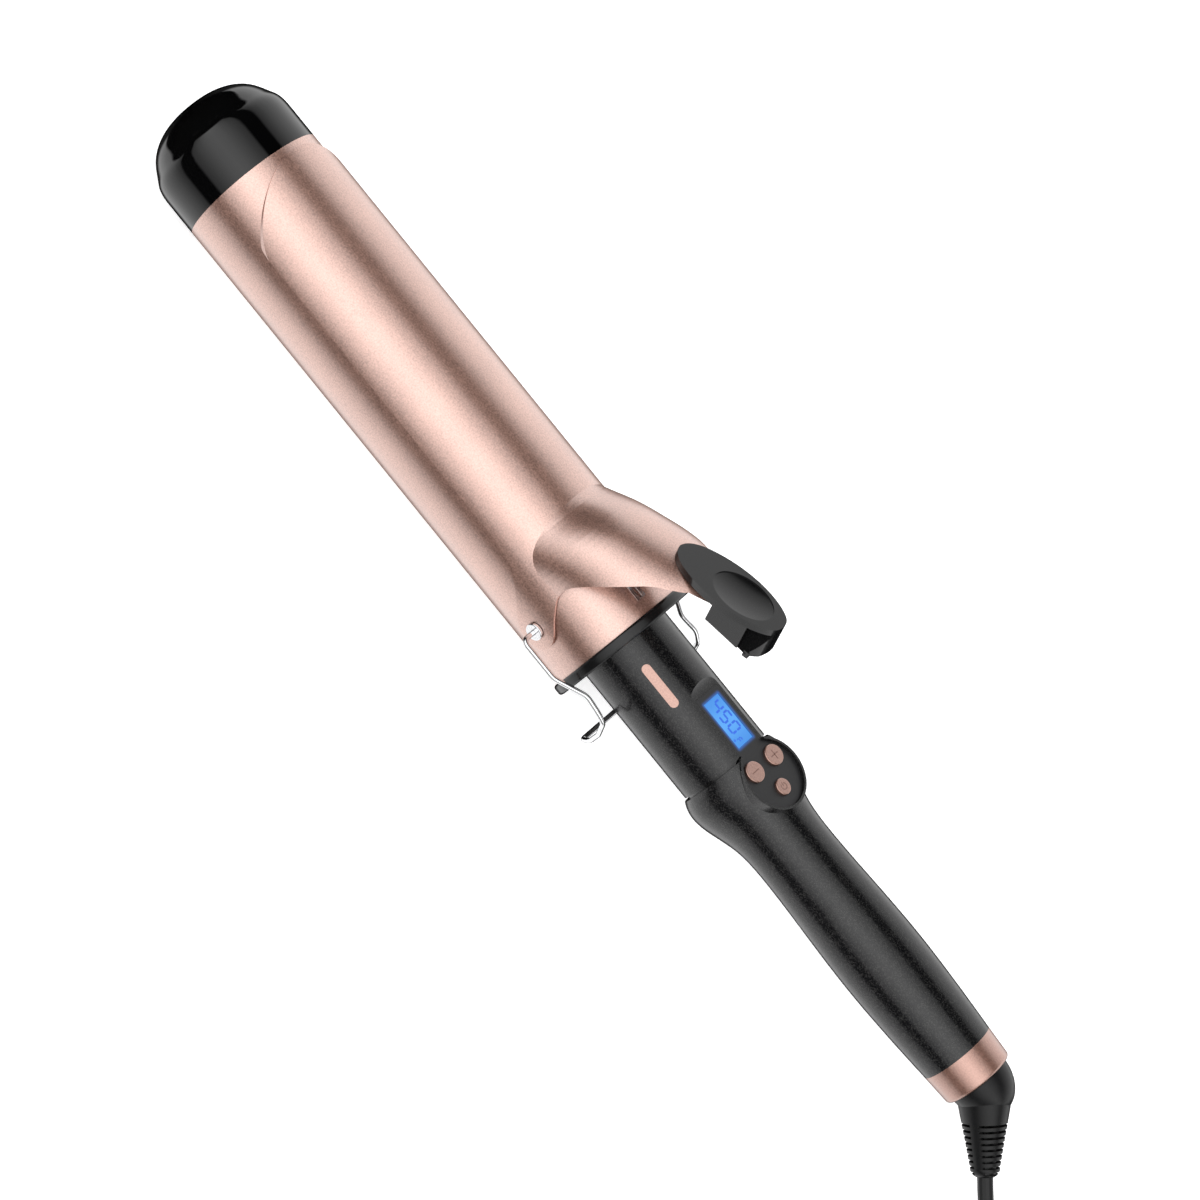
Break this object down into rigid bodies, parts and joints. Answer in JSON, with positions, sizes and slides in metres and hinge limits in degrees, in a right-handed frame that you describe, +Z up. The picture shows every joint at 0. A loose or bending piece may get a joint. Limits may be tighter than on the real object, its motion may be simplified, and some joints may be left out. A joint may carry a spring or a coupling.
{
  "type": "curling iron",
  "caption": "Corded hair curling iron: wide barrel with a hinged spring clamp, fold-out wire stand, display and buttons on the handle, swivel cord and plug.",
  "frame": {"origin": "under the middle of the iron without its cord, on the surface that the collar rests on", "axes": "+X along the barrel from the nose to the cord, +Z up through the clamp lever and the display, +Y across"},
  "size_m": [0.5732, 0.0982, 0.0885],
  "materials": {
    "rose_gold_paint": "fine metallic satin coat",
    "rose_gold_trim": "metallic painted plastic",
    "cap_black": "high gloss, heat resistant",
    "collar_black": "satin moulded",
    "handle_black": "gloss with a fine glitter",
    "thumb_black": "satin moulded",
    "panel_black": "fine matte",
    "chrome_steel": "polished",
    "spring_steel": "polished strip",
    "rubber_black": "soft matte",
    "cord_black": "matte jacket",
    "aluminium_shoe": "extruded",
    "ceramic_white": "fired",
    "mica": "pressed mica",
    "glass_bead": "clear bead",
    "board_green": "solder mask",
    "brass_contact": "bright",
    "lcd_blue": "backlit display, emissive",
    "lcd_window": "clear window",
    "wire_white": "silicone sleeve",
    "switch_grey": "moulded"
  },
  "bodies": {
    "iron": {"cool_tip": "cap_black", "tip_insulator": "mica", "barrel_tube": "rose_gold_paint", "heater_shoe_upper": "aluminium_shoe", "heater_shoe_lower": "aluminium_shoe", "ceramic_heater": "ceramic_white", "temperature_sensor": "glass_bead", "thermal_fuse": "spring_steel", "base_insulator": "ceramic_white", "collar": "collar_black", "pivot_studs": "chrome_steel", "clamp_spring": "spring_steel", "spring_rivets": "spring_steel", "front_sleeve": "handle_black", "grip": "handle_black", "handle_core": "collar_black", "control_panel": "panel_black", "control_board": "board_green", "tact_switches": "switch_grey", "board_screws": "chrome_steel", "lcd_module": "lcd_blue", "lcd_lens": "lcd_window", "heater_leads": "wire_white", "mains_leads": "wire_white", "end_ring": "rose_gold_trim", "brush_contacts": "brass_contact", "cord_lead": "cord_black", "cord_coil": "cord_black", "cord_tail": "cord_black", "cord_tie": "rubber_black", "plug_body": "rubber_black", "plug_blades": "brass_contact", "side_inlay": "rose_gold_trim"},
    "clamp": {"clamp_plate": "rose_gold_paint", "thumb_press": "thumb_black", "thumb_base": "thumb_black", "thumb_screw": "chrome_steel"},
    "stand": {"stand_wire": "chrome_steel"},
    "cord_swivel": {"swivel_hub": "collar_black", "slip_rings": "brass_contact", "strain_relief": "rubber_black"},
    "plus": {"plus_button": "rose_gold_trim"},
    "minus": {"minus_button": "rose_gold_trim"},
    "power": {"power_button": "rose_gold_trim"}
  },
  "joints": [
    {"name": "clamp_hinge", "type": "hinge", "parent": "iron", "child": "clamp", "pos_m": [-0.00065, 0, 0.0271], "axis": [0, 1, 0], "range_deg": [0, 20], "stiffness_Nm_per_rad": 0.6, "springref_deg": -17.19, "deforming": ["clamp_spring"]},
    {"name": "stand_hinge", "type": "hinge", "parent": "iron", "child": "stand", "pos_m": [-0.00065, 0, 0.0271], "axis": [0, 1, 0], "range_deg": [0, 90]},
    {"name": "cord_swivel", "type": "hinge", "parent": "iron", "child": "cord_swivel", "pos_m": [0.2028, 0, 0.0271], "axis": [1, 0, 0], "continuous": true},
    {"name": "plus_press", "type": "slide", "parent": "iron", "child": "plus", "axis": [0, 0, -1], "range_m": [0, 0.0006], "stiffness_N_per_m": 2000, "springref_m": -0.0003},
    {"name": "minus_press", "type": "slide", "parent": "iron", "child": "minus", "axis": [0, 0, -1], "range_m": [0, 0.0006], "stiffness_N_per_m": 2000, "springref_m": -0.0003},
    {"name": "power_press", "type": "slide", "parent": "iron", "child": "power", "axis": [0, 0, -1], "range_m": [0, 0.0006], "stiffness_N_per_m": 2000, "springref_m": -0.0003}
  ]
}
